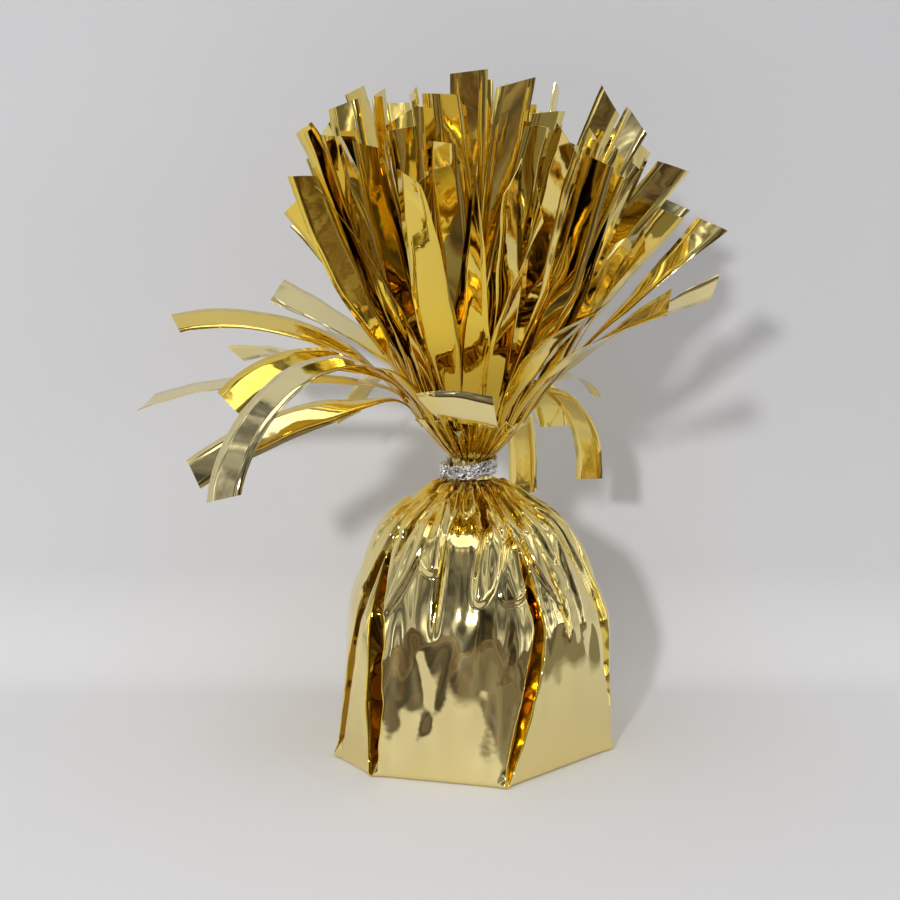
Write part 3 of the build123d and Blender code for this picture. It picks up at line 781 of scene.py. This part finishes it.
# Each strip: its azimuth, lean after the first bend, lean at the tip, twist, early turn and veer in
# degrees, shares of the usual length and bend, how deep its painted shade is, and whether it swings.
outlying = [
    ("right", 3, 34, 38, 60, 0, 0, 0.86, 1.00, 0.5, False),
    ("right_pale", 18, 58, 70, 56, 0, 0, 0.88, 0.80, 0.0, True),
    ("right_curl", 32, 72, 150, -20, 0, 0, 0.42, 0.70, 0.2, False),
    ("right_arch", 47, 86, 186, 8, 0, 0, 0.74, 0.50, 0.3, True),
    ("back_spike", 61, 82, 155, 50, 0, 0, 0.62, 0.60, 0.3, False),
    ("back_hanging", 74, 82, 186, -8, 0, 0, 0.96, 0.50, 0.3, True),
    ("back_a", 90, 42, 50, 15, 20, 0, 0.85, 1.00, 0.6, False),
    ("back_b", 105, 70, 100, -20, 0, 0, 0.95, 0.80, 0.6, False),
    ("left_tab", 120, 74, 150, 12, 0, 8, 0.80, 0.70, 0.3, True),
    ("left_upper", 135, 62, 73, 46, 0, 6, 0.94, 0.80, 0.0, True),
    ("left_pale", 150, 72, 98, -34, 0, 0, 0.90, 0.70, 0.1, True),
    ("left_far", 165, 82, 108, 8, 14, 0, 1.10, 0.60, 0.0, True),
    ("left_level", 180, 57, 102, 10, 26, 0, 0.94, 1.00, 0.6, True),
    ("left_dark", 195, 96, 124, 12, 50, 0, 0.83, 0.45, 0.2, True),
    ("left_arch", 210, 62, 134, 6, 36, 0, 0.80, 0.80, 0.8, True),
    ("left_hanging", 226, 66, 168, 2, 16, 0, 1.13, 0.90, 0.0, True),
    ("front_tab", 241, 86, 102, 8, 61, 100, 0.45, 0.45, 0.0, True),
    ("front_left", 255, 36, 35, 68, -25, 0, 0.94, 1.00, 0.6, False),
    ("front_mid", 270, 35, 34, 62, 30, 0, 0.98, 1.00, 0.6, False),
    ("front_low", 284, 38, 44, -72, -20, 0, 0.90, 1.00, 0.6, False),
    ("front_right", 299, 52, 72, -30, 0, 0, 0.71, 0.80, 0.4, False),
    ("right_white", 316, 56, 70, -50, 0, 0, 0.75, 0.80, 0.2, True),
    ("right_amber", 331, 34, 40, -45, 0, 0, 0.74, 1.00, 0.8, False),
    ("right_long", 347, 44, 47, -62, 0, 0, 0.90, 1.00, 0.4, True),
]
outer_radius, root_clear, outer_flare = throat_radius * 0.925, 0.3, 19.0
for number, (name, azimuth, *turns, long, bend, painted_shade, swings) in enumerate(outlying):
    node = "outer_strip_" + name
    root = (outer_radius, throat_top + (root_clear if swings else 0))
    bow, slant = 0.08 * sin(5 * number), 2.4 * sin(4 * number + 1)
    frames = strip_frames(
        azimuth, root, *turns, strip_length * long, bend_length * bend, outer_flare, bow, slant
    )
    # Each strip takes its own painted shade level from the table.
    strip = strips_piece(node + "_film", [frames], [painted_shade])
    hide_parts(node)
    if swings:
        around = radians(azimuth)
        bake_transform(strip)
    else:
        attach(strip, "weight")


# Studio: a pale table that runs up into a pale backdrop close behind, seen from its front only, a
# soft lamp beside the camera, and a light room all round that is darker behind the camera. For mirror
# rays only, the table is painted to end a little way in front of and beside the object, with a painted
# reflection of a streaky brown room past that edge.
def stage_sheet(name, line, wide):
    points, faces = [], []
    for y, z in line:
        points += [(-wide, y, z), (wide, y, z)]
    for k in range(len(line) - 1):
        faces.append((2 * k, 2 * k + 1, 2 * k + 3, 2 * k + 2))
    mesh = bpy.data.meshes.new(name)
    mesh.from_pydata(points, [], faces)
    mesh.polygons.foreach_set("use_smooth", [True] * len(mesh.polygons))
    sheet = bpy.data.objects.new(name, mesh)
    bpy.context.scene.collection.objects.link(sheet)
    material, tree, shader, place = finish_nodes(name + "_paper")
    where = tree.nodes.new("ShaderNodeSeparateXYZ")
    tree.links.new(place.outputs["Object"], where.inputs["Vector"])
    shader.inputs["Roughness"].default_value = 0.75
    shader.inputs["Specular IOR Level"].default_value = 0.2
    sheet.data.materials.append(material)
    return tree, shader, place, where


table_white = (0.95, 0.95, 0.955, 1)
wall_low, wall_white = (0.76, 0.76, 0.77, 1), (0.69, 0.69, 0.70, 1)
painted_room_dark, painted_room_brown = (0.02, 0.017, 0.013, 1), (0.15, 0.09, 0.055, 1)
painted_room_grey, painted_room_side = (0.28, 0.26, 0.21, 1), (0.32, 0.30, 0.24, 1)
half_wide, table_level = 1.6, -0.00005
tree, shader, place, where = stage_sheet("table", [(-0.9, table_level), (1.6, table_level)], half_wide)
ray = tree.nodes.new("ShaderNodeLightPath")


# Painted reflection: past the given edge, mirror rays see the outer colour instead of the table's.
def painted_for_mirrors_past(direction, near, far, inner, outer):
    edge = tree.nodes.new("ShaderNodeMapRange")
    edge.inputs["From Min"].default_value = near
    edge.inputs["From Max"].default_value = far
    tree.links.new(where.outputs[direction], edge.inputs["Value"])
    mirrored = tree.nodes.new("ShaderNodeMath")
    mirrored.operation = "MULTIPLY"
    tree.links.new(edge.outputs["Result"], mirrored.inputs[0])
    tree.links.new(ray.outputs["Is Glossy Ray"], mirrored.inputs[1])
    tone = tree.nodes.new("ShaderNodeMix")
    tone.data_type = "RGBA"
    tree.links.new(mirrored.outputs["Value"], tone.inputs["Factor"])
    for socket, colour in ((tone.inputs["A"], inner), (tone.inputs["B"], outer)):
        if isinstance(colour, tuple):
            socket.default_value = colour
        else:
            tree.links.new(colour, socket)
    return tone.outputs["Result"]


stretch = tree.nodes.new("ShaderNodeMapping")
stretch.inputs["Scale"].default_value = (16.0, 2.0, 1.0)
tree.links.new(place.outputs["Object"], stretch.inputs["Vector"])
streak = tree.nodes.new("ShaderNodeTexNoise")
streak.inputs["Scale"].default_value = 1.0
tree.links.new(stretch.outputs["Vector"], streak.inputs["Vector"])
# The painted reflection of the room: streaks of dark, brown and grey.
painted_room_reflection = ramp_on(
    tree, streak.outputs["Fac"], [(0.38, painted_room_dark), (0.50, painted_room_brown), (0.62, painted_room_grey)]
)
painted_side_reflection = painted_for_mirrors_past("X", 0.085, 0.11, table_white, painted_room_side)
tone = painted_for_mirrors_past("Y", -0.082, -0.094, painted_side_reflection, painted_room_reflection.outputs["Color"])
tree.links.new(tone, shader.inputs["Base Color"])

cove_start, cove_deep, cove_tall, wall_top = 0.034, 0.042, 0.070, 1.2
cove = [
    (cove_start + cove_deep * sin(bent), cove_tall * (1 - cos(bent)))
    for bent in np.linspace(0, pi / 2, 24)
]
wall = [(cove_start + cove_deep, wall_top)]
tree, shader, place, where = stage_sheet("backdrop", cove + wall, half_wide)
# The backdrop is painted lighter at its foot, from the table's white through a light grey low down to a
# duller grey higher up: a painted gradient of light.
rise = tree.nodes.new("ShaderNodeMapRange")
rise.inputs["From Max"].default_value = 0.20
tree.links.new(where.outputs["Z"], rise.inputs["Value"])
tone = ramp_on(tree, rise.outputs["Result"], [(0.0, table_white), (0.12, wall_low), (1.0, wall_white)])
tree.links.new(tone.outputs["Color"], shader.inputs["Base Color"])
clear = tree.nodes.new("ShaderNodeBsdfTransparent")
either = tree.nodes.new("ShaderNodeMixShader")
sides = tree.nodes.new("ShaderNodeNewGeometry")
tree.links.new(sides.outputs["Backfacing"], either.inputs["Fac"])
tree.links.new(shader.outputs["BSDF"], either.inputs[1])
tree.links.new(clear.outputs["BSDF"], either.inputs[2])
tree.links.new(either.outputs["Shader"], tree.nodes["Material Output"].inputs["Surface"])

world = bpy.data.worlds.new("room")
bpy.context.scene.world = world
world.use_nodes = True
tree = world.node_tree
room = tree.nodes["Background"]
coord = tree.nodes.new("ShaderNodeTexCoord")
split = tree.nodes.new("ShaderNodeSeparateXYZ")
tree.links.new(coord.outputs["Generated"], split.inputs["Vector"])
skyward = tree.nodes.new("ShaderNodeMapRange")
skyward.inputs["From Min"].default_value = -1.0
tree.links.new(split.outputs["Z"], skyward.inputs["Value"])


def grey(level):
    return (level, level, level * 1.01, 1)


up = ramp_on(
    tree, skyward.outputs["Result"],
    [
        (0.40, grey(0.30)), (0.50, grey(0.58)), (0.60, grey(0.50)),
        (0.70, grey(0.38)), (0.82, grey(0.42)), (0.90, grey(0.72)),
    ],
)
spot = tree.nodes.new("ShaderNodeMapping")
spot.inputs["Scale"].default_value = (2.5, 1.0, 1.7)
spot.inputs["Location"].default_value = (0.0, 1.0, -0.15)
tree.links.new(coord.outputs["Generated"], spot.inputs["Vector"])
round_spot = tree.nodes.new("ShaderNodeTexGradient")
round_spot.gradient_type = "SPHERICAL"
tree.links.new(spot.outputs["Vector"], round_spot.inputs["Vector"])
behind_camera = (0.32, 0.27, 0.20, 1)
front = ramp_on(tree, round_spot.outputs["Fac"], [(0.15, grey(1.0)), (0.50, behind_camera)])
stretch = tree.nodes.new("ShaderNodeMapping")
stretch.inputs["Scale"].default_value = (9.0, 9.0, 1.6)
tree.links.new(coord.outputs["Generated"], stretch.inputs["Vector"])
patch = tree.nodes.new("ShaderNodeTexNoise")
patch.inputs["Scale"].default_value = 1.0
patch.inputs["Detail"].default_value = 1.5
tree.links.new(stretch.outputs["Vector"], patch.inputs["Vector"])
patches = ramp_on(
    tree, patch.outputs["Fac"], [(0.38, grey(0.35)), (0.58, grey(1.4)), (0.67, grey(3.4))]
)
rightward = tree.nodes.new("ShaderNodeMapRange")
rightward.inputs["From Min"].default_value = -1.0
tree.links.new(split.outputs["X"], rightward.inputs["Value"])
window = ramp_on(
    tree, rightward.outputs["Result"],
    [(0.10, grey(2.2)), (0.30, grey(1.0)), (0.66, grey(1.0)), (0.85, grey(3.2))],
)


def times(first, second):
    product = tree.nodes.new("ShaderNodeMix")
    product.data_type = "RGBA"
    product.blend_type = "MULTIPLY"
    product.inputs["Factor"].default_value = 1.0
    tree.links.new(first, product.inputs["A"])
    tree.links.new(second, product.inputs["B"])
    return product.outputs["Result"]


far_wall, room_strength = (1.34, 1.34, 1.36, 1), 0.43
shade = times(times(up.outputs["Color"], front.outputs["Color"]), patches.outputs["Color"])
shade = times(shade, window.outputs["Color"])
seen = tree.nodes.new("ShaderNodeLightPath")
pick = tree.nodes.new("ShaderNodeMix")
pick.data_type = "RGBA"
pick.inputs["B"].default_value = far_wall
tree.links.new(seen.outputs["Is Camera Ray"], pick.inputs["Factor"])
tree.links.new(shade, pick.inputs["A"])
tree.links.new(pick.outputs["Result"], room.inputs["Color"])
room.inputs["Strength"].default_value = room_strength


def lamp(name, where, aim, size, power):
    light = bpy.data.lights.new(name, "AREA")
    light.shape = "DISK"
    light.size = size
    light.energy = power
    thing = bpy.data.objects.new(name, light)
    thing.location = where
    thing.rotation_euler = (Vector(aim) - Vector(where)).to_track_quat("-Z", "Y").to_euler()
    bpy.context.scene.collection.objects.link(thing)


lamp("key", (-0.27, -0.84, 0.32), (0, 0, 0.07), 0.06, 2.8)
lamp("overhead", (-0.12, -0.35, 1.05), (0, 0, 0.05), 0.7, 1.65)

sensor, focal_pixels, photo_pixels, looks_down = 36.0, 1346, 900, 7.15
camera = bpy.data.cameras.new("camera")
camera.lens = sensor * focal_pixels / photo_pixels
camera.sensor_width = sensor
camera.clip_start = 0.01
viewer = bpy.data.objects.new("camera", camera)
viewer.location = (-0.0045, -0.284, 0.099)
viewer.rotation_euler = (radians(90 - looks_down), 0, 0)
bpy.context.scene.collection.objects.link(viewer)
bpy.context.scene.camera = viewer
bpy.context.scene.view_settings.view_transform = "Standard"
